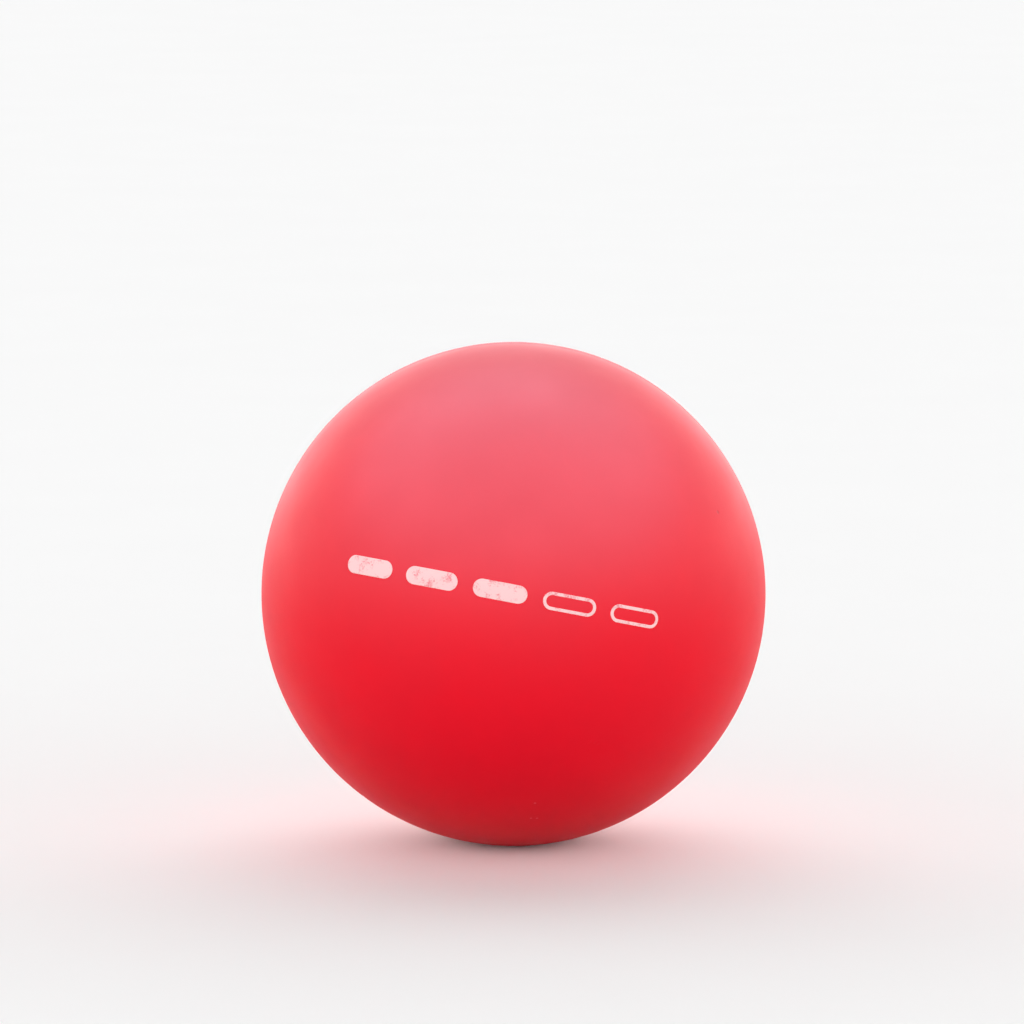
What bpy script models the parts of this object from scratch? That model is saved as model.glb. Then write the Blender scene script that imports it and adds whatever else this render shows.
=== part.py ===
"""Hand exercise ball: two bonded half skins round a foam core, with a plugged filling port.

Units are metres and +Z is up. The ball rests on the plane z = 0, its printed face looks along -Y
and its filling port looks along +Y. Every piece is turned about the ball's own axis, local Z,
which runs from the front pole to the rear pole and lies along the world's +Y.
"""

import math

import bmesh
import bpy

# Driving dimensions of the ball
BALL_DIAMETER = 0.065
SKIN_WALL = 0.0025
REST_FLAT_DIAMETER = 0.008  # patch that the ball's own weight presses flat
CLEARANCE = 0.0003  # gap that two touching pieces keep, here the bond line

# Lap joint between the half skins
LAP_LENGTH = 0.0025  # how far the front half's lip reaches into the rear half

# Filling port and the boss round it, at the rear pole
PORT_DIAMETER = 0.008
BOSS_DIAMETER = 0.018
BOSS_HEIGHT = 0.0015  # above the inner wall at the boss's edge

# Stopper that closes the port
PLUG_HEAD_DIAMETER = 0.013
PLUG_HEAD_EDGE = 0.0012  # height of the head at its edge
PLUG_DIMPLE_DIAMETER = 0.004  # seat of the pin that presses the stopper home
PLUG_DIMPLE_DEPTH = 0.0006
BARB_OVERHANG = 0.0012  # how far the barb reaches past the port's wall
BARB_EDGE = 0.0008
BARB_TAPER = 0.0022
NOSE_DIAMETER = 0.005

# Fineness of the turned surfaces
TURN_STEPS = 48
FACET_ANGLE = 2 * math.pi / TURN_STEPS
SHARP_ANGLE = math.radians(35)
WELD_DISTANCE = 1e-6

# Radii that the pieces share
OUTER_RADIUS = BALL_DIAMETER / 2
INNER_RADIUS = OUTER_RADIUS - SKIN_WALL
LIP_RADIUS = INNER_RADIUS + (SKIN_WALL - CLEARANCE) / 2  # the lap joint shares the wall equally
PORT_RADIUS = PORT_DIAMETER / 2
BOSS_RADIUS = BOSS_DIAMETER / 2
HEAD_RADIUS = PLUG_HEAD_DIAMETER / 2
RECESS_RADIUS = HEAD_RADIUS + CLEARANCE
BARB_RADIUS = PORT_RADIUS + BARB_OVERHANG
FOAM_RADIUS = INNER_RADIUS - CLEARANCE


def chord_height(radius, offset):
    """Height of a circle of this radius above its centre, at this distance to the side."""
    return math.sqrt(radius**2 - offset**2)


# Heights along the ball's axis, from its centre
CENTRE_HEIGHT = chord_height(OUTER_RADIUS, REST_FLAT_DIAMETER / 2)
SEAM_HALF_GAP = CLEARANCE / 2
HEAD_UNDERSIDE = chord_height(OUTER_RADIUS, HEAD_RADIUS) - PLUG_HEAD_EDGE
RECESS_FLOOR = HEAD_UNDERSIDE - CLEARANCE
BOSS_FACE = chord_height(INNER_RADIUS, BOSS_RADIUS) - BOSS_HEIGHT
BARB_TOP = BOSS_FACE - CLEARANCE
NOSE_END = BARB_TOP - BARB_EDGE - BARB_TAPER


def arc(radius, start, end):
    """Points (distance from axis, height) on a circle, between two angles from the rear pole."""
    steps = max(1, round(abs(end - start) / FACET_ANGLE))
    angles = [start + (end - start) * step / steps for step in range(steps + 1)]
    return [(radius * math.sin(angle), radius * math.cos(angle)) for angle in angles]


def angle_at_height(radius, height):
    return math.acos(height / radius)


def angle_at_offset(radius, offset):
    return math.asin(offset / radius)


def front_half_profile():
    """Outer skin from the front pole to the seam, over the lip, and back along the inner wall."""
    outer = arc(OUTER_RADIUS, math.pi, angle_at_height(OUTER_RADIUS, -SEAM_HALF_GAP))
    lip = [
        (LIP_RADIUS, -SEAM_HALF_GAP),
        (LIP_RADIUS, LAP_LENGTH),
    ]
    inner = arc(INNER_RADIUS, angle_at_height(INNER_RADIUS, LAP_LENGTH), math.pi)
    return outer + lip + inner


def rear_half_profile():
    """Outer skin from the seam to the plug's recess, through the port, round the boss, and back."""
    rebate_radius = LIP_RADIUS + CLEARANCE
    rebate_end = LAP_LENGTH + CLEARANCE
    outer = arc(
        OUTER_RADIUS,
        angle_at_height(OUTER_RADIUS, SEAM_HALF_GAP),
        angle_at_offset(OUTER_RADIUS, RECESS_RADIUS),
    )
    port = [
        (RECESS_RADIUS, RECESS_FLOOR),
        (PORT_RADIUS, RECESS_FLOOR),
        (PORT_RADIUS, BOSS_FACE),
        (BOSS_RADIUS, BOSS_FACE),
    ]
    inner = arc(
        INNER_RADIUS,
        angle_at_offset(INNER_RADIUS, BOSS_RADIUS),
        angle_at_height(INNER_RADIUS, rebate_end),
    )
    rebate = [
        (rebate_radius, rebate_end),
        (rebate_radius, SEAM_HALF_GAP),
    ]
    return outer + port + inner + rebate


def plug_profile():
    """Dimpled head that follows the ball's outer surface, then shank, barb and tapered nose."""
    dimple_radius = PLUG_DIMPLE_DIAMETER / 2
    dimple_edge = chord_height(OUTER_RADIUS, dimple_radius)
    shank_radius = PORT_RADIUS - CLEARANCE
    dimple = [
        (0.0, dimple_edge - PLUG_DIMPLE_DEPTH),
        (dimple_radius, dimple_edge - PLUG_DIMPLE_DEPTH),
    ]
    head = arc(
        OUTER_RADIUS,
        angle_at_offset(OUTER_RADIUS, dimple_radius),
        angle_at_offset(OUTER_RADIUS, HEAD_RADIUS),
    )
    shank = [
        (HEAD_RADIUS, HEAD_UNDERSIDE),
        (shank_radius, HEAD_UNDERSIDE),
        (shank_radius, BARB_TOP),
    ]
    barb = [
        (BARB_RADIUS, BARB_TOP),
        (BARB_RADIUS, BARB_TOP - BARB_EDGE),
        (NOSE_DIAMETER / 2, NOSE_END),
        (0.0, NOSE_END),
    ]
    return dimple + head + shank + barb


def foam_profile():
    """Ball that fills the skin, with a stepped pocket for the boss and for the plug's barb."""
    boss_pocket = BOSS_RADIUS + CLEARANCE
    barb_pocket = BARB_RADIUS + CLEARANCE
    pocket_shelf = BOSS_FACE - CLEARANCE
    pocket_floor = NOSE_END - CLEARANCE
    pocket = [
        (0.0, pocket_floor),
        (barb_pocket, pocket_floor),
        (barb_pocket, pocket_shelf),
        (boss_pocket, pocket_shelf),
    ]
    return pocket + arc(FOAM_RADIUS, angle_at_offset(FOAM_RADIUS, boss_pocket), math.pi)


def linear_colour(hex_code):
    """Linear RGBA of an sRGB colour written as six hex digits."""
    channels = [int(hex_code[place : place + 2], 16) / 255 for place in (0, 2, 4)]
    linear = [
        channel / 12.92 if channel <= 0.04045 else ((channel + 0.055) / 1.055) ** 2.4
        for channel in channels
    ]
    return (*linear, 1.0)


def make_material(name, hex_code, roughness):
    material = bpy.data.materials.new(name)
    material.use_nodes = True
    shader = material.node_tree.nodes["Principled BSDF"]
    shader.inputs["Base Color"].default_value = linear_colour(hex_code)
    shader.inputs["Roughness"].default_value = roughness
    shader.inputs["Metallic"].default_value = 0.0
    return material


def make_empty(name, parent=None):
    empty = bpy.data.objects.new(name, None)
    bpy.context.scene.collection.objects.link(empty)
    empty.parent = parent
    return empty


def make_turned(name, profile, closed, material, parent):
    """Solid turned about local Z from a profile that ends on the axis, or closes on itself."""
    shape = bmesh.new()
    points = [shape.verts.new((offset, 0.0, height)) for offset, height in profile]
    ends = points[1:] + points[:1] if closed else points[1:]
    edges = [shape.edges.new(pair) for pair in zip(points, ends)]
    bmesh.ops.spin(
        shape,
        geom=points + edges,
        cent=(0.0, 0.0, 0.0),
        axis=(0.0, 0.0, 1.0),
        angle=2 * math.pi,
        steps=TURN_STEPS,
        use_merge=True,
    )
    bmesh.ops.remove_doubles(shape, verts=shape.verts, dist=WELD_DISTANCE)
    bmesh.ops.recalc_face_normals(shape, faces=shape.faces)
    mesh = bpy.data.meshes.new(name)
    shape.to_mesh(mesh)
    shape.free()
    mesh.shade_smooth()
    mesh.set_sharp_from_angle(angle=SHARP_ANGLE)
    mesh.materials.append(material)
    piece = bpy.data.objects.new(name, mesh)
    bpy.context.scene.collection.objects.link(piece)
    piece.parent = parent
    return piece


def make_table_cutter():
    """Block under the plane z = 0, which takes off the rest flat."""
    shape = bmesh.new()
    bmesh.ops.create_cube(shape, size=BALL_DIAMETER)
    mesh = bpy.data.meshes.new("table_cutter")
    shape.to_mesh(mesh)
    shape.free()
    cutter = bpy.data.objects.new("table_cutter", mesh)
    cutter.location.z = -BALL_DIAMETER / 2
    cutter.hide_render = True
    cutter.display_type = "WIRE"
    bpy.context.scene.collection.objects.link(cutter)
    return cutter


def cut_rest_flat(piece, cutter):
    modifier = piece.modifiers.new("rest_flat", "BOOLEAN")
    modifier.operation = "DIFFERENCE"
    modifier.solver = "EXACT"
    modifier.object = cutter


def build():
    for old in list(bpy.data.objects):
        bpy.data.objects.remove(old)

    front_rubber = make_material("front_skin_rubber", "EB1426", 0.5)
    rear_rubber = make_material("rear_skin_rubber", "E81527", 0.5)
    plug_rubber = make_material("plug_rubber", "DE1226", 0.45)
    foam = make_material("cream_foam", "EFE3C8", 0.95)

    ball = make_empty("ball_centre")
    ball.location.z = CENTRE_HEIGHT
    ball.rotation_euler.x = -math.pi / 2
    squeeze = make_empty("squeeze_slide", ball)

    front = make_turned("front_half_skin", front_half_profile(), False, front_rubber, ball)
    make_turned("foam_core", foam_profile(), False, foam, ball)
    rear = make_turned("rear_half_skin", rear_half_profile(), True, rear_rubber, squeeze)
    make_turned("fill_plug", plug_profile(), False, plug_rubber, squeeze)

    cutter = make_table_cutter()
    cut_rest_flat(front, cutter)
    cut_rest_flat(rear, cutter)


build()
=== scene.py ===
"""Looks of the hand exercise ball: satin rubber skins, printed firmness bars, filling plug and foam.

The ball rests on the plane z = 0, its printed face looks along -Y and its plug looks along +Y.
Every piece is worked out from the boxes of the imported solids, in metres.
"""

import math

import bmesh
import bpy
import numpy as np
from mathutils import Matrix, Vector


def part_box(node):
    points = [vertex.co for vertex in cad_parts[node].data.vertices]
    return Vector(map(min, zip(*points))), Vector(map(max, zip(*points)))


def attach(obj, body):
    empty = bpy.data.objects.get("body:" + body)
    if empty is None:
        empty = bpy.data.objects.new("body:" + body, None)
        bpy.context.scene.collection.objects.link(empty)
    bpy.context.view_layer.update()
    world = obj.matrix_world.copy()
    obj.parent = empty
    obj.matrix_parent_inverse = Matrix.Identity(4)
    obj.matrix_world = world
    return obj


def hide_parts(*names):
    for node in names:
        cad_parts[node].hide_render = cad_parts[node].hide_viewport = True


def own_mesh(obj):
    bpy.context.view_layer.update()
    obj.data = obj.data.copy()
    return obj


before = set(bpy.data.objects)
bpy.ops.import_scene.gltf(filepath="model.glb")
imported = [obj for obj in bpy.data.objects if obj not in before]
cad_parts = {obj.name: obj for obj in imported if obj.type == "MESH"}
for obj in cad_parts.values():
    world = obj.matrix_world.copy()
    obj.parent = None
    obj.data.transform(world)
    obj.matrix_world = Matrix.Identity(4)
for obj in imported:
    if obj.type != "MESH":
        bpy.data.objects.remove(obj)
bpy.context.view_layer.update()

MM = 0.001

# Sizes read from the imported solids
front_low, front_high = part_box("front_half_skin")
rear_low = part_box("rear_half_skin")[0]
foam_low, foam_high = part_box("foam_core")
plug_low, plug_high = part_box("fill_plug")
BALL_RADIUS = -front_low.y
CENTRE_HEIGHT = (foam_low.z + foam_high.z) / 2
FOAM_RADIUS = -foam_low.y
CLEARANCE = 2 * rear_low.y
LIP_LENGTH = front_high.y
HEAD_RADIUS = plug_high.x
NOSE_END = plug_low.y
INNER_RADIUS = FOAM_RADIUS + CLEARANCE
LIP_RADIUS = INNER_RADIUS + (BALL_RADIUS - INNER_RADIUS - CLEARANCE) / 2

# Moulded edges and bond lines, as they show on the finished ball
BOND_LINE = 0.04 * MM  # width of a closed bond between two pieces
SEAM_EDGE = 0.28 * MM  # softened rim of each half skin, which leaves a fine groove at the seam
RECESS_EDGE = 0.35 * MM
HEAD_EDGE = 0.45 * MM
FOOT_SOFTNESS = 0.06 * MM  # how gently the skin leaves the table at the rest flat

# Filling port and plug
PORT_RADIUS = 4.0 * MM
BOSS_RADIUS = 9.0 * MM
BOSS_HEIGHT = 1.5 * MM
HEAD_SIDE = 1.2 * MM  # height of the plug's head at its edge
DIMPLE_RADIUS = 2.0 * MM
DIMPLE_DEPTH = 0.6 * MM
BARB_OVERHANG = 1.2 * MM
BARB_SIDE = 0.8 * MM
NOSE_RADIUS = 2.5 * MM
INNER_EDGE = 0.3 * MM  # softened edges of the port, the barb and the foam's pocket

# Printed firmness gauge
BAR_COUNT = 5
BARS_FILLED = 3
BAR_LENGTH = 6.9 * MM
BAR_HEIGHT = 2.3 * MM
BAR_GAP = 2.0 * MM
BAR_STROKE = 0.42 * MM  # line of an outlined bar
INK_THICKNESS = 0.035 * MM
INK_ROOT = 0.03 * MM  # how far the ink's edge reaches below the skin's surface
PRINT_SLANT = math.radians(-10.6)
PRINT_SHIFT = -1.7 * MM  # towards the left of the face

# Camera, matched to the photograph's frame of 1024 by 1024 pixels
IMAGE_SIZE = 1024
BALL_CENTRE_PIXEL = (513.5, 593.7)
BALL_RADIUS_PIXELS = 252.1
CAMERA_DISTANCE = 0.9
CAMERA_ELEVATION = math.radians(8)
SENSOR_WIDTH = 36.0
NEAR_CLIP = 0.01

# Small marks in the skin, by their pixel in the photograph
PALE_FLECK_PIXELS = ((535, 803), (531, 818), (537, 818))
SCRATCH_PIXELS = ((590, 741), (594, 742), (598, 743))
PIT_PIXELS = ((718, 512),)
FLECK_RADIUS = 0.22 * MM
SCRATCH_RADIUS = 1.6 * FLECK_RADIUS
PIT_RADIUS = 0.35 * MM
MARK_RELIEF = 0.03 * MM
MARK_CORE = 0.3  # share of a mark's radius that has its full strength
FLECK_STRENGTH = 0.5
PIT_SHADE_STRENGTH = 0.35

# Colours, in sRGB
FRONT_RED, FRONT_DEEP_RED = "E7021F", "D6021D"
REAR_RED, REAR_DEEP_RED = "E50220", "D4021D"
PLUG_RED, PLUG_DEEP_RED = "DB021E", "CA021B"
FLECK_PINK = "FF8088"
# the pit's darker red is painted shade in the pit
PIT_SHADE_RED = "A00414"
INK_WHITE, INK_WORN = "F4C8C8", "EA5966"
# the darker cream is painted shade in the hollows of the foam's cells, and random clouding
FOAM_PORE_SHADE_AND_CLOUD, FOAM_CREAM = "E3D3B0", "F6ECD6"
PAPER_SHADE, PAPER_WHITE = "F6F6F6", "F8F8F8"
PAPER_BOUNCE = "B3B3B3"  # what the paper gives back to the ball
SHEEN_COLOUR = "D9E8FF"  # cool daylight

# Finish of the rubber and the ink, whose fine grain scatters most of their mirror light
MIRROR_LEVEL = 0.16
CLOUD_RANGE = (0.3, 0.7)  # where most values of a cloudy noise lie

# Studio light, in radiance: what has a radiance of 1 renders white
ROOF_RADIANCE = 0.05
WALL_RADIANCE = 3.4  # the tent's walls add this low down
WALL_FADE = (0.05, 0.75)  # upward parts of the directions between which the walls fade out
BACK_BOX_RADIANCE = 1.5
BACK_BOX_ELEVATION = math.radians(140)
BACK_BOX_INNER = math.radians(12)
BACK_BOX_SOFTNESS = math.radians(40)
BACK_BOX_WIDEN = 0.7
SHEEN_RADIANCE = 12.0
SHEEN_DISTANCE = 0.6
SHEEN_ELEVATION = math.radians(74)
SHEEN_HALF_HEIGHT = math.radians(54)
SHEEN_HALF_WIDTH = math.radians(64)

# Sheet of background paper
FLOOR_HALF_SIZE = 15.0
FLOOR_LINES = 31  # grid lines each way

# Fineness of the surfaces
TURN_STEPS = 288
ARC_STEP = 0.32 * MM
EDGE_STEPS = 6
CORNER_SHARE = 0.45  # most of a side that one softened corner takes
BAR_ROUND_STEPS = 20
BAR_STRAIGHT_STEPS = 24
INK_TOP_POINTS = 6
SHARP_ANGLE = math.radians(40)
WELD_DISTANCE = 1e-8

# Directions of the camera's picture at the ball
FACING = np.array([0.0, -math.cos(CAMERA_ELEVATION), math.sin(CAMERA_ELEVATION)])
RIGHT = np.array([1.0, 0.0, 0.0])
UPWARD = np.array([0.0, math.sin(CAMERA_ELEVATION), math.cos(CAMERA_ELEVATION)])
BALL_CENTRE = np.array([0.0, 0.0, CENTRE_HEIGHT])
FOCAL_PIXELS = BALL_RADIUS_PIXELS * math.sqrt((CAMERA_DISTANCE / BALL_RADIUS) ** 2 - 1)


# Surfaces

def arc(radius, start, end):
    """Circle about the ball's centre: offset = radius sin(angle), along = radius cos(angle).

    The angle counts from the rear pole.
    """
    steps = max(2, round(radius * abs(end - start) / ARC_STEP))
    angle = np.linspace(start, end, steps + 1)
    return np.column_stack((radius * np.sin(angle), radius * np.cos(angle)))


def height_at(radius, offset):
    """Place along the axis where a circle has this offset: sqrt(radius^2 - offset^2)."""
    return math.sqrt(radius**2 - offset**2)


def soft_corner(before, corner, after):
    """Parabola that leaves one side at before and joins the next at after, pulled to the corner."""
    t = np.linspace(0, 1, EDGE_STEPS + 1)[:, None]
    before, corner, after = (np.array(point, float) for point in (before, corner, after))
    return (1 - t) ** 2 * before + 2 * t * (1 - t) * corner + t**2 * after


def soft_path(points, reach):
    """Straight sides through the points, with each inner corner softened over this reach."""
    points = [np.array(point, float) for point in points]
    rows = [points[0][None, :]]
    for before, corner, after in zip(points, points[1:], points[2:]):
        back, ahead = before - corner, after - corner
        back_length, ahead_length = np.linalg.norm(back), np.linalg.norm(ahead)
        cut = min(reach, CORNER_SHARE * back_length, CORNER_SHARE * ahead_length)
        start = corner + back * cut / back_length
        end = corner + ahead * cut / ahead_length
        rows.append(soft_corner(start, corner, end))
    rows.append(points[-1][None, :])
    return np.vstack(rows)


def make_piece(name, points, faces, material):
    """Closed mesh at the origin, with its doubles merged and its faces turned outwards."""
    mesh = bpy.data.meshes.new(name)
    mesh.from_pydata(points, [], faces)
    shape = bmesh.new()
    shape.from_mesh(mesh)
    bmesh.ops.remove_doubles(shape, verts=shape.verts, dist=WELD_DISTANCE)
    bmesh.ops.dissolve_degenerate(shape, edges=shape.edges, dist=WELD_DISTANCE)
    bmesh.ops.recalc_face_normals(shape, faces=shape.faces)
    shape.to_mesh(mesh)
    shape.free()
    mesh.shade_smooth()
    mesh.set_sharp_from_angle(angle=SHARP_ANGLE)
    mesh.materials.append(material)
    piece = bpy.data.objects.new(name, mesh)
    bpy.context.scene.collection.objects.link(piece)
    return piece


def grid_faces(rows, columns, close_rows, close_columns):
    """Quads between neighbours on a grid of points, closed on itself where asked."""
    row = np.arange(rows if close_rows else rows - 1)[:, None]
    column = np.arange(columns if close_columns else columns - 1)[None, :]
    below, beside = (row + 1) % rows, (column + 1) % columns
    corners = (
        row * columns + column,
        below * columns + column,
        below * columns + beside,
        row * columns + beside,
    )
    return np.stack([np.broadcast_to(c, (row.size, column.size)) for c in corners], -1).reshape(-1, 4)


def rest_on_table(points):
    """Heights z become (z + sqrt(z^2 + s^2)) / 2, which presses what is below the table flat."""
    height = points[:, 2]
    points[:, 2] = (height + np.sqrt(height**2 + FOOT_SOFTNESS**2)) / 2
    return points


def turned(name, profile, closed, material, rests=False):
    """Profile (offset, along) turned about the ball's axis: x = offset cos t, z = offset sin t."""
    turn = np.linspace(0, 2 * math.pi, TURN_STEPS, endpoint=False)
    offset, along = profile[:, :1], profile[:, 1:]
    x = offset * np.cos(turn)
    y = np.broadcast_to(along, x.shape)
    z = CENTRE_HEIGHT + offset * np.sin(turn)
    points = np.stack((x, y, z), -1).reshape(-1, 3)
    if rests:
        points = rest_on_table(points)
    return make_piece(name, points, grid_faces(len(profile), TURN_STEPS, closed, True), material)


# Pieces of the ball

def front_skin_profile():
    """Outer face from the front pole, softened rim, lip, then the inner wall back to the pole."""
    rim = -BOND_LINE / 2
    edge_start = arc(BALL_RADIUS, math.pi, math.acos((rim - SEAM_EDGE) / BALL_RADIUS))
    edge = soft_corner(edge_start[-1], (BALL_RADIUS, rim), (BALL_RADIUS - SEAM_EDGE, rim))
    lip = soft_path(
        (
            (BALL_RADIUS - SEAM_EDGE, rim),
            (LIP_RADIUS, rim),
            (LIP_RADIUS, LIP_LENGTH),
            (height_at(INNER_RADIUS, LIP_LENGTH), LIP_LENGTH),
        ),
        INNER_EDGE,
    )
    inner = arc(INNER_RADIUS, math.acos(LIP_LENGTH / INNER_RADIUS), math.pi)
    return np.vstack((edge_start, edge[1:], lip[1:], inner[1:]))


def rear_skin_profile():
    """Outer face from the seam to the plug's recess, the port, the boss, the inner wall, the rebate."""
    rim = BOND_LINE / 2
    recess_radius = HEAD_RADIUS + BOND_LINE
    recess_top = height_at(BALL_RADIUS, recess_radius)
    recess_floor = height_at(BALL_RADIUS, HEAD_RADIUS) - HEAD_SIDE - BOND_LINE
    boss_face = height_at(INNER_RADIUS, BOSS_RADIUS) - BOSS_HEIGHT
    rebate_radius = LIP_RADIUS + BOND_LINE
    rebate_end = LIP_LENGTH + BOND_LINE
    outer = arc(
        BALL_RADIUS,
        math.acos((rim + SEAM_EDGE) / BALL_RADIUS),
        math.asin((recess_radius + RECESS_EDGE) / BALL_RADIUS),
    )
    recess_edge = soft_corner(
        outer[-1], (recess_radius, recess_top), (recess_radius, recess_top - RECESS_EDGE)
    )
    port = soft_path(
        (
            (recess_radius, recess_top - RECESS_EDGE),
            (recess_radius, recess_floor),
            (PORT_RADIUS, recess_floor),
            (PORT_RADIUS, boss_face),
            (BOSS_RADIUS, boss_face),
            (BOSS_RADIUS, height_at(INNER_RADIUS, BOSS_RADIUS)),
        ),
        INNER_EDGE,
    )
    inner = arc(
        INNER_RADIUS,
        math.asin(BOSS_RADIUS / INNER_RADIUS),
        math.acos(rebate_end / INNER_RADIUS),
    )
    rebate = soft_path(
        (inner[-1], (rebate_radius, rebate_end), (rebate_radius, rim), (BALL_RADIUS - SEAM_EDGE, rim)),
        INNER_EDGE,
    )
    seam_edge = soft_corner((BALL_RADIUS - SEAM_EDGE, rim), (BALL_RADIUS, rim), outer[0])
    return np.vstack((outer, recess_edge[1:], port[1:], inner[1:], rebate[1:], seam_edge[1:-1]))


def plug_profile():
    """Dimpled head flush with the ball, then the shank, the barb and the tapered nose."""
    head_top = height_at(BALL_RADIUS, HEAD_RADIUS)
    underside = head_top - HEAD_SIDE
    dimple_top = height_at(BALL_RADIUS, DIMPLE_RADIUS)
    shank_radius = PORT_RADIUS - BOND_LINE
    barb_top = height_at(INNER_RADIUS, BOSS_RADIUS) - BOSS_HEIGHT - CLEARANCE
    dimple = soft_path(
        (
            (0.0, dimple_top - DIMPLE_DEPTH),
            (DIMPLE_RADIUS - INNER_EDGE, dimple_top - DIMPLE_DEPTH),
            (DIMPLE_RADIUS, dimple_top),
            (DIMPLE_RADIUS + INNER_EDGE, height_at(BALL_RADIUS, DIMPLE_RADIUS + INNER_EDGE)),
        ),
        INNER_EDGE,
    )
    head = arc(
        BALL_RADIUS,
        math.asin((DIMPLE_RADIUS + INNER_EDGE) / BALL_RADIUS),
        math.asin((HEAD_RADIUS - HEAD_EDGE) / BALL_RADIUS),
    )
    head_edge = soft_corner(head[-1], (HEAD_RADIUS, head_top), (HEAD_RADIUS, head_top - HEAD_EDGE))
    shank = soft_path(
        (
            (HEAD_RADIUS, head_top - HEAD_EDGE),
            (HEAD_RADIUS, underside),
            (shank_radius, underside),
            (shank_radius, barb_top),
            (PORT_RADIUS + BARB_OVERHANG, barb_top),
            (PORT_RADIUS + BARB_OVERHANG, barb_top - BARB_SIDE),
            (NOSE_RADIUS, NOSE_END),
            (0.0, NOSE_END),
        ),
        INNER_EDGE,
    )
    return np.vstack((dimple, head[1:], head_edge[1:], shank[1:]))


def foam_profile():
    """Stepped pocket for the boss and the barb, then the ball's round that fills the skin."""
    boss_pocket = BOSS_RADIUS + CLEARANCE
    barb_pocket = PORT_RADIUS + BARB_OVERHANG + CLEARANCE
    shelf = height_at(INNER_RADIUS, BOSS_RADIUS) - BOSS_HEIGHT - CLEARANCE
    pocket = soft_path(
        (
            (0.0, NOSE_END - CLEARANCE),
            (barb_pocket, NOSE_END - CLEARANCE),
            (barb_pocket, shelf),
            (boss_pocket, shelf),
            (boss_pocket, height_at(FOAM_RADIUS, boss_pocket)),
        ),
        INNER_EDGE,
    )
    return np.vstack((pocket, arc(FOAM_RADIUS, math.asin(boss_pocket / FOAM_RADIUS), math.pi)[1:]))


def on_print(along, across, height):
    """Point over the skin: along / radius round the print's great circle, then across / radius off it."""
    run = math.cos(PRINT_SLANT) * RIGHT + math.sin(PRINT_SLANT) * UPWARD
    rise = -math.sin(PRINT_SLANT) * RIGHT + math.cos(PRINT_SLANT) * UPWARD
    turn, lift = (np.asarray(length)[..., None] / BALL_RADIUS for length in (along, across))
    outward = np.cos(lift) * (np.cos(turn) * FACING + np.sin(turn) * run) + np.sin(lift) * rise
    return BALL_CENTRE + (BALL_RADIUS + np.asarray(height)[..., None]) * outward


def bar_outline():
    """Stadium outline: its straight sides and round ends, as places on the spine and outward normals."""
    half_spine = (BAR_LENGTH - BAR_HEIGHT) / 2
    slide = np.linspace(-half_spine, half_spine, BAR_STRAIGHT_STEPS, endpoint=False)
    swing = np.linspace(-math.pi / 2, math.pi / 2, BAR_ROUND_STEPS, endpoint=False)
    side = np.zeros(BAR_STRAIGHT_STEPS)
    end = np.zeros(BAR_ROUND_STEPS)
    spine = np.concatenate((slide, end + half_spine, -slide, end - half_spine))
    angle = np.concatenate((side - math.pi / 2, swing, side + math.pi / 2, swing + math.pi))
    return spine, np.cos(angle), np.sin(angle)


def ink_profile(width):
    """Section of the ink film (inset, height): root, softened edge, and a top of this width."""
    edge = INK_THICKNESS
    rise = soft_corner((0.0, -INK_ROOT), (0.0, INK_THICKNESS), (edge, INK_THICKNESS))
    top_inset = np.linspace(edge, width - edge, INK_TOP_POINTS)[1:]
    top = np.column_stack((top_inset, np.full(top_inset.size, INK_THICKNESS)))
    return rise, top


def printed_bar(number):
    """Ink section carried round a stadium outline: over the whole bar, or only along its line."""
    filled = number < BARS_FILLED
    centre = PRINT_SHIFT + (number - (BAR_COUNT - 1) / 2) * (BAR_LENGTH + BAR_GAP)
    spine, normal_along, normal_across = bar_outline()
    half_height = BAR_HEIGHT / 2
    if filled:
        rise, top = ink_profile(half_height + INK_THICKNESS)
        under = np.array(((half_height, -INK_ROOT),))
        section = np.vstack((under, rise, top))
    else:
        rise, top = ink_profile(BAR_STROKE)
        fall = np.column_stack((BAR_STROKE - rise[::-1, 0], rise[::-1, 1]))
        section = np.vstack((rise, top, fall[1:]))
    inset = section[:, :1]
    along = centre + spine + (half_height - inset) * normal_along
    across = (half_height - inset) * normal_across
    height = np.broadcast_to(section[:, 1:], along.shape)
    points = on_print(along, across, height).reshape(-1, 3)
    faces = grid_faces(len(section), spine.size, not filled, True)
    return points, faces


def printed_gauge(material):
    """All bars of the firmness gauge as one film of ink."""
    bar_points, bar_faces = zip(*(printed_bar(number) for number in range(BAR_COUNT)))
    starts = np.cumsum([0] + [len(points) for points in bar_points[:-1]])
    faces = np.vstack([faces + start for faces, start in zip(bar_faces, starts)])
    return make_piece("printed_firmness_bars", np.vstack(bar_points), faces, material)


# Materials

def linear(hex_code):
    """Linear RGBA of an sRGB colour written as six hex digits."""
    channels = [int(hex_code[place : place + 2], 16) / 255 for place in (0, 2, 4)]
    return (*[c / 12.92 if c <= 0.04045 else ((c + 0.055) / 1.055) ** 2.4 for c in channels], 1.0)


def add(tree, kind, sockets=None, **settings):
    """Adds a node, sets its properties, and fills each named socket with a value or a link."""
    node = tree.nodes.new(kind)
    for name, value in settings.items():
        setattr(node, name, value)
    for socket, value in (sockets or {}).items():
        if isinstance(value, bpy.types.NodeSocket):
            tree.links.new(value, node.inputs[socket])
        else:
            node.inputs[socket].default_value = value
    return node


def new_material(name):
    """Material with its node tree, its shader and the object's own coordinates."""
    material = bpy.data.materials.new(name)
    material.use_nodes = True
    tree = material.node_tree
    place = add(tree, "ShaderNodeTexCoord").outputs["Object"]
    return material, tree, tree.nodes["Principled BSDF"], place


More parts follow.
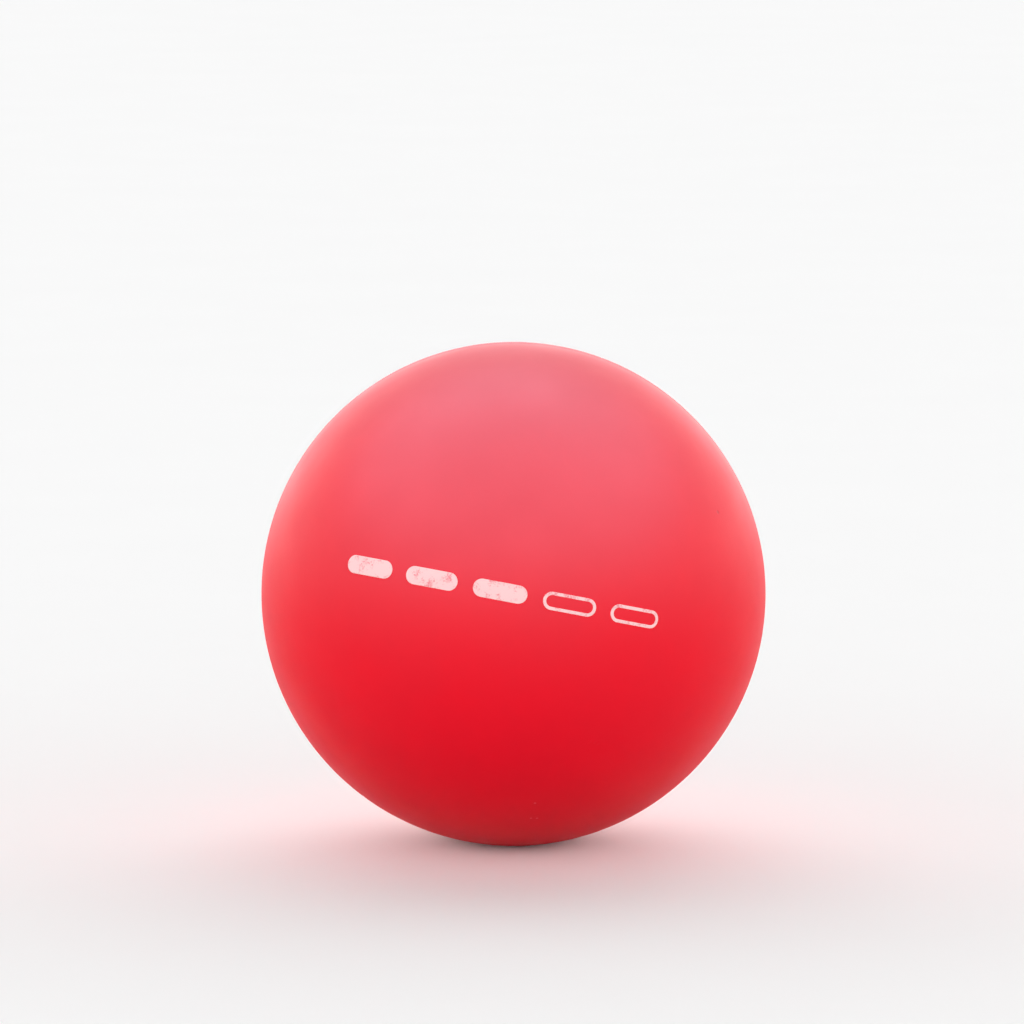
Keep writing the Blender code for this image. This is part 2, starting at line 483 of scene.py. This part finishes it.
def on_skin(pixel):
    """Point of the skin that the photograph shows at this pixel: where its sight line meets the ball."""
    aside = (pixel[0] - BALL_CENTRE_PIXEL[0]) / FOCAL_PIXELS
    above = (BALL_CENTRE_PIXEL[1] - pixel[1]) / FOCAL_PIXELS
    sight = aside * RIGHT + above * UPWARD - FACING
    sight /= np.linalg.norm(sight)
    camera = CAMERA_DISTANCE * FACING
    nearest = -camera @ sight
    reach = nearest - math.sqrt(nearest**2 - camera @ camera + BALL_RADIUS**2)
    return BALL_CENTRE + camera + reach * sight


def marks(tree, place, pixels, radius):
    """Mask that is 1 at each of these places on the skin and fades to 0 at the radius."""
    total = None
    for pixel in pixels:
        distance = add(
            tree, "ShaderNodeVectorMath", {0: place, 1: on_skin(pixel)}, operation="DISTANCE"
        ).outputs["Value"]
        spot = add(
            tree,
            "ShaderNodeMapRange",
            {"Value": distance, "From Min": radius, "From Max": MARK_CORE * radius},
            interpolation_type="SMOOTHSTEP",
        ).outputs["Result"]
        if total is None:
            total = spot
        else:
            total = add(tree, "ShaderNodeMath", {0: total, 1: spot}, operation="MAXIMUM").outputs[0]
    return total


def marked_skin(tree, place, tone, bump):
    """Colour and relief of the skin, with its pale flecks, its scratch and its pit added. The pit's darker
    red is painted shade in the pit.
    """
    fleck = marks(tree, place, PALE_FLECK_PIXELS, FLECK_RADIUS)
    scratch = marks(tree, place, SCRATCH_PIXELS, SCRATCH_RADIUS)
    pit = marks(tree, place, PIT_PIXELS, PIT_RADIUS)
    light = add(tree, "ShaderNodeMath", {0: fleck, 1: FLECK_STRENGTH}, operation="MULTIPLY").outputs[0]
    tone = add(
        tree, "ShaderNodeMix", {0: light, 6: tone, 7: linear(FLECK_PINK)}, data_type="RGBA"
    ).outputs[2]
    # painted shade: the pit is coloured a darker red
    pit_shade = add(tree, "ShaderNodeMath", {0: pit, 1: PIT_SHADE_STRENGTH}, operation="MULTIPLY").outputs[0]
    tone = add(
        tree, "ShaderNodeMix", {0: pit_shade, 6: tone, 7: linear(PIT_SHADE_RED)}, data_type="RGBA"
    ).outputs[2]
    relief = add(tree, "ShaderNodeMath", {0: scratch, 1: fleck}, operation="MAXIMUM").outputs[0]
    relief = add(tree, "ShaderNodeMath", {0: relief, 1: pit}, operation="SUBTRACT").outputs[0]
    bump = add(
        tree,
        "ShaderNodeBump",
        {"Height": relief, "Strength": 1.0, "Distance": MARK_RELIEF, "Normal": bump},
    ).outputs["Normal"]
    return tone, bump


def satin_rubber(name, colour, deep_colour, flawed):
    """Soft thermoplastic rubber from a spark-eroded mould: satin, with a faint grain and clouding.

    The grain of the mould is finer than a pixel, so it is drawn about four times as coarse.
    """
    material, tree, shader, place = new_material(name)
    cloud_size, grain_size, ripple_size = 11 * MM, 0.4 * MM, 4.5 * MM
    grain_depth, ripple_depth = 0.006 * MM, 0.02 * MM
    deepest = 0.35  # how far the clouds go to the deeper colour
    smoothest, roughest = 0.47, 0.54
    cloud = add(
        tree,
        "ShaderNodeTexNoise",
        {"Vector": place, "Scale": 1 / cloud_size, "Detail": 3.0, "Roughness": 0.55},
    ).outputs["Fac"]
    grain = add(
        tree, "ShaderNodeTexNoise", {"Vector": place, "Scale": 1 / grain_size, "Detail": 2.0}
    ).outputs["Fac"]
    ripple = add(
        tree, "ShaderNodeTexNoise", {"Vector": place, "Scale": 1 / ripple_size, "Detail": 1.0}
    ).outputs["Fac"]
    cloudy = {"Value": cloud, "From Min": CLOUD_RANGE[0], "From Max": CLOUD_RANGE[1]}
    depth = add(tree, "ShaderNodeMapRange", {**cloudy, "To Max": deepest}).outputs["Result"]
    gloss = add(
        tree, "ShaderNodeMapRange", {**cloudy, "To Min": smoothest, "To Max": roughest}
    ).outputs["Result"]
    tone = add(
        tree, "ShaderNodeMix", {0: depth, 6: linear(colour), 7: linear(deep_colour)}, data_type="RGBA"
    ).outputs[2]
    bump = add(
        tree, "ShaderNodeBump", {"Height": ripple, "Strength": 1.0, "Distance": ripple_depth}
    ).outputs["Normal"]
    bump = add(
        tree,
        "ShaderNodeBump",
        {"Height": grain, "Strength": 1.0, "Distance": grain_depth, "Normal": bump},
    ).outputs["Normal"]
    if flawed:
        tone, bump = marked_skin(tree, place, tone, bump)
    tree.links.new(tone, shader.inputs["Base Color"])
    tree.links.new(gloss, shader.inputs["Roughness"])
    tree.links.new(bump, shader.inputs["Normal"])
    shader.inputs["IOR"].default_value = 1.5
    shader.inputs["Specular IOR Level"].default_value = MIRROR_LEVEL
    return material


def pad_print_ink():
    """White pad-printing ink on rubber: a matt film with pinholes where the skin shows through.

    The pinholes are drawn at twice their real size.
    """
    material, tree, shader, place = new_material("pad_print_ink")
    pinhole_size, patch_size = 0.22 * MM, 1.4 * MM
    pinhole_share = 0.65  # pinholes against patches in the wear
    wear_start, wear_end = 0.84, 1.08
    least_bare, most_bare = 0.02, 0.7
    relief = 0.006 * MM
    speck = add(
        tree, "ShaderNodeTexNoise", {"Vector": place, "Scale": 1 / pinhole_size, "Detail": 2.0}
    ).outputs["Fac"]
    patch = add(
        tree, "ShaderNodeTexNoise", {"Vector": place, "Scale": 1 / patch_size, "Detail": 2.0}
    ).outputs["Fac"]
    wear = add(
        tree, "ShaderNodeMath", {0: speck, 1: pinhole_share, 2: patch}, operation="MULTIPLY_ADD"
    ).outputs[0]
    bare = add(
        tree,
        "ShaderNodeMapRange",
        {
            "Value": wear,
            "From Min": wear_start,
            "From Max": wear_end,
            "To Min": least_bare,
            "To Max": most_bare,
        },
        interpolation_type="SMOOTHSTEP",
    ).outputs["Result"]
    tone = add(
        tree, "ShaderNodeMix", {0: bare, 6: linear(INK_WHITE), 7: linear(INK_WORN)}, data_type="RGBA"
    ).outputs[2]
    bump = add(
        tree, "ShaderNodeBump", {"Height": speck, "Strength": 1.0, "Distance": relief}
    ).outputs["Normal"]
    tree.links.new(tone, shader.inputs["Base Color"])
    tree.links.new(bump, shader.inputs["Normal"])
    shader.inputs["Roughness"].default_value = 0.55
    shader.inputs["Specular IOR Level"].default_value = MIRROR_LEVEL
    return material


def cellular_foam():
    """Open-cell polyurethane foam, cream and matt, with the cells of its moulded face. Its cream darkens
    in the hollows of the cells as painted shade, and in random clouds.
    """
    material, tree, shader, place = new_material("cellular_foam")
    cell_size, cell_depth, cloud_size = 0.9 * MM, 0.25 * MM, 12 * MM
    cell = add(
        tree, "ShaderNodeTexVoronoi", {"Vector": place, "Scale": 1 / cell_size}, feature="F1"
    ).outputs["Distance"]
    cloud = add(
        tree, "ShaderNodeTexNoise", {"Vector": place, "Scale": 1 / cloud_size, "Detail": 3.0}
    ).outputs["Fac"]
    # painted shade in the hollows of the cells, times a random clouding
    pore_shade_and_cloud = add(tree, "ShaderNodeMath", {0: cell, 1: cloud}, operation="MULTIPLY").outputs[0]
    tone = add(
        tree, "ShaderNodeMix", {0: pore_shade_and_cloud, 6: linear(FOAM_PORE_SHADE_AND_CLOUD), 7: linear(FOAM_CREAM)}, data_type="RGBA"
    ).outputs[2]
    bump = add(
        tree, "ShaderNodeBump", {"Height": cell, "Strength": 1.0, "Distance": cell_depth}
    ).outputs["Normal"]
    tree.links.new(tone, shader.inputs["Base Color"])
    tree.links.new(bump, shader.inputs["Normal"])
    shader.inputs["Roughness"].default_value = 0.95
    return material


def white_paper():
    """Matt background paper, pale and even, with the faint clouding of its pulp.

    What looks at the paper or mirrors it sees it pale. It throws less light back up at the ball.
    """
    material, tree, shader, place = new_material("white_paper")
    cloud_size = 40 * MM
    cloud = add(
        tree, "ShaderNodeTexNoise", {"Vector": place, "Scale": 1 / cloud_size, "Detail": 4.0}
    ).outputs["Fac"]
    pale = add(
        tree, "ShaderNodeMix", {0: cloud, 6: linear(PAPER_SHADE), 7: linear(PAPER_WHITE)}, data_type="RGBA"
    ).outputs[2]
    ray = add(tree, "ShaderNodeLightPath").outputs
    looked_at = add(
        tree, "ShaderNodeMath", {0: ray["Is Camera Ray"], 1: ray["Is Glossy Ray"]}, operation="MAXIMUM"
    ).outputs[0]
    looked_at = add(
        tree, "ShaderNodeMath", {0: looked_at, 1: ray["Is Transmission Ray"]}, operation="MAXIMUM"
    ).outputs[0]
    tone = add(
        tree, "ShaderNodeMix", {0: looked_at, 6: linear(PAPER_BOUNCE), 7: pale}, data_type="RGBA"
    ).outputs[2]
    tree.links.new(tone, shader.inputs["Base Color"])
    shader.inputs["Roughness"].default_value = 1.0
    shader.inputs["Specular IOR Level"].default_value = 0.0
    return material


# Studio

def studio_floor():
    """Flat sheet of background paper, far larger than the picture."""
    reach = np.linspace(-FLOOR_HALF_SIZE, FLOOR_HALF_SIZE, FLOOR_LINES)
    x, y = np.meshgrid(reach, reach, indexing="ij")
    points = np.stack((x, y, np.zeros_like(x)), -1).reshape(-1, 3)
    mesh = bpy.data.meshes.new("studio_floor")
    mesh.from_pydata(points, [], grid_faces(reach.size, reach.size, False, False)[:, ::-1])
    mesh.materials.append(white_paper())
    floor = bpy.data.objects.new("studio_floor", mesh)
    bpy.context.scene.collection.objects.link(floor)


def softbox(tree, direction, elevation, inner, softness, widen):
    """Mask of one far softbox: 1 within the inner angle of its middle, then fading to 0.

    The elevation counts from the front horizon over the top. Widen below 1 stretches it sideways.
    """
    squeezed = add(
        tree, "ShaderNodeVectorMath", {0: direction, 1: (widen, 1.0, 1.0)}, operation="MULTIPLY"
    ).outputs[0]
    unit = add(tree, "ShaderNodeVectorMath", {0: squeezed}, operation="NORMALIZE").outputs[0]
    middle = (0.0, -math.cos(elevation), math.sin(elevation))
    cosine = add(
        tree, "ShaderNodeVectorMath", {0: unit, 1: middle}, operation="DOT_PRODUCT"
    ).outputs["Value"]
    angle = add(tree, "ShaderNodeMath", {0: cosine}, operation="ARCCOSINE").outputs[0]
    return add(
        tree,
        "ShaderNodeMapRange",
        {"Value": angle, "From Min": inner, "From Max": inner + softness, "To Min": 1.0, "To Max": 0.0},
        interpolation_type="SMOOTHSTEP",
    ).outputs["Result"]


def studio_tent():
    """White tent with bright walls and a dim roof, and a softbox high at the back."""
    world = bpy.data.worlds.new("studio")
    bpy.context.scene.world = world
    world.use_nodes = True
    tree = world.node_tree
    direction = add(tree, "ShaderNodeTexCoord").outputs["Generated"]
    upward = add(tree, "ShaderNodeSeparateXYZ", {0: direction}).outputs["Z"]
    walls = add(
        tree,
        "ShaderNodeMapRange",
        {
            "Value": upward,
            "From Min": WALL_FADE[0],
            "From Max": WALL_FADE[1],
            "To Min": ROOF_RADIANCE + WALL_RADIANCE,
            "To Max": ROOF_RADIANCE,
        },
        interpolation_type="SMOOTHSTEP",
    ).outputs["Result"]
    back_box = softbox(
        tree, direction, BACK_BOX_ELEVATION, BACK_BOX_INNER, BACK_BOX_SOFTNESS, BACK_BOX_WIDEN
    )
    total = add(
        tree, "ShaderNodeMath", {0: back_box, 1: BACK_BOX_RADIANCE, 2: walls}, operation="MULTIPLY_ADD"
    ).outputs[0]
    background = tree.nodes["Background"]
    background.inputs["Color"].default_value = (1.0, 1.0, 1.0, 1.0)
    tree.links.new(total, background.inputs["Strength"])


def sheen_lamp():
    """Wide oval softbox that only shows as the satin sheen: the rubber mirrors it, nothing is lit by it.

    The power of an even, flat lamp is its radiance times pi times its area. Multiple importance
    sampling is off, because a ray that the gloss sends to the lamp would also bring the rubber's red.
    """
    lamp = bpy.data.lights.new("sheen_softbox", "AREA")
    lamp.shape = "ELLIPSE"
    lamp.color = linear(SHEEN_COLOUR)[:3]
    lamp.size = 2 * SHEEN_DISTANCE * math.tan(SHEEN_HALF_WIDTH)
    lamp.size_y = 2 * SHEEN_DISTANCE * math.tan(SHEEN_HALF_HEIGHT)
    area = math.pi * lamp.size * lamp.size_y / 4
    lamp.energy = SHEEN_RADIANCE * math.pi * area
    holder = bpy.data.objects.new("sheen_softbox", lamp)
    bpy.context.scene.collection.objects.link(holder)
    outward = np.array([0.0, -math.cos(SHEEN_ELEVATION), math.sin(SHEEN_ELEVATION)])
    holder.location = BALL_CENTRE + SHEEN_DISTANCE * outward
    holder.rotation_euler.x = math.pi / 2 - SHEEN_ELEVATION
    holder.visible_diffuse = False
    lamp.cycles.use_multiple_importance_sampling = False


def studio_camera():
    """Camera that puts the ball's centre and radius on the photograph's pixels."""
    camera = bpy.data.objects.new("camera", bpy.data.cameras.new("camera"))
    bpy.context.scene.collection.objects.link(camera)
    bpy.context.scene.camera = camera
    camera.data.sensor_width = SENSOR_WIDTH
    camera.data.lens = SENSOR_WIDTH * FOCAL_PIXELS / IMAGE_SIZE
    camera.data.clip_start = NEAR_CLIP
    camera.location = BALL_CENTRE + CAMERA_DISTANCE * FACING
    aside = (BALL_CENTRE_PIXEL[0] - IMAGE_SIZE / 2) / FOCAL_PIXELS
    above = (BALL_CENTRE_PIXEL[1] - IMAGE_SIZE / 2) / FOCAL_PIXELS
    forward = -FACING - aside * RIGHT + above * UPWARD
    pitch = math.asin(forward[2] / np.linalg.norm(forward))
    heading = math.atan2(-forward[0], forward[1])
    camera.rotation_euler = (math.pi / 2 + pitch, 0.0, heading)


def soften(piece):
    """Gives a piece a mesh of its own, which no other object shares."""
    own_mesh(piece)


def ball():
    """Makes every piece, with the body it rides on, the solid it stands for and its finish."""
    front_rubber = satin_rubber("satin_rubber_front", FRONT_RED, FRONT_DEEP_RED, True)
    rear_rubber = satin_rubber("satin_rubber_rear", REAR_RED, REAR_DEEP_RED, False)
    plug_rubber = satin_rubber("satin_rubber_plug", PLUG_RED, PLUG_DEEP_RED, False)

    front_skin = turned("front_skin", front_skin_profile(), False, front_rubber, rests=True)
    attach(front_skin, "front")
    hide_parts("front_half_skin")
    soften(front_skin)

    gauge = printed_gauge(pad_print_ink())
    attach(gauge, "front")
    soften(gauge)

    rear_skin = turned("rear_skin", rear_skin_profile(), True, rear_rubber, rests=True)
    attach(rear_skin, "rear")
    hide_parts("rear_half_skin")
    soften(rear_skin)

    plug = turned("filling_plug", plug_profile(), False, plug_rubber)
    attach(plug, "rear")
    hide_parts("fill_plug")
    soften(plug)

    foam = turned("foam_filling", foam_profile(), False, cellular_foam())
    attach(foam, "front")
    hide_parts("foam_core")
    soften(foam)


bpy.context.scene.view_settings.view_transform = "Standard"
studio_camera()
studio_floor()
studio_tent()
sheen_lamp()
ball()
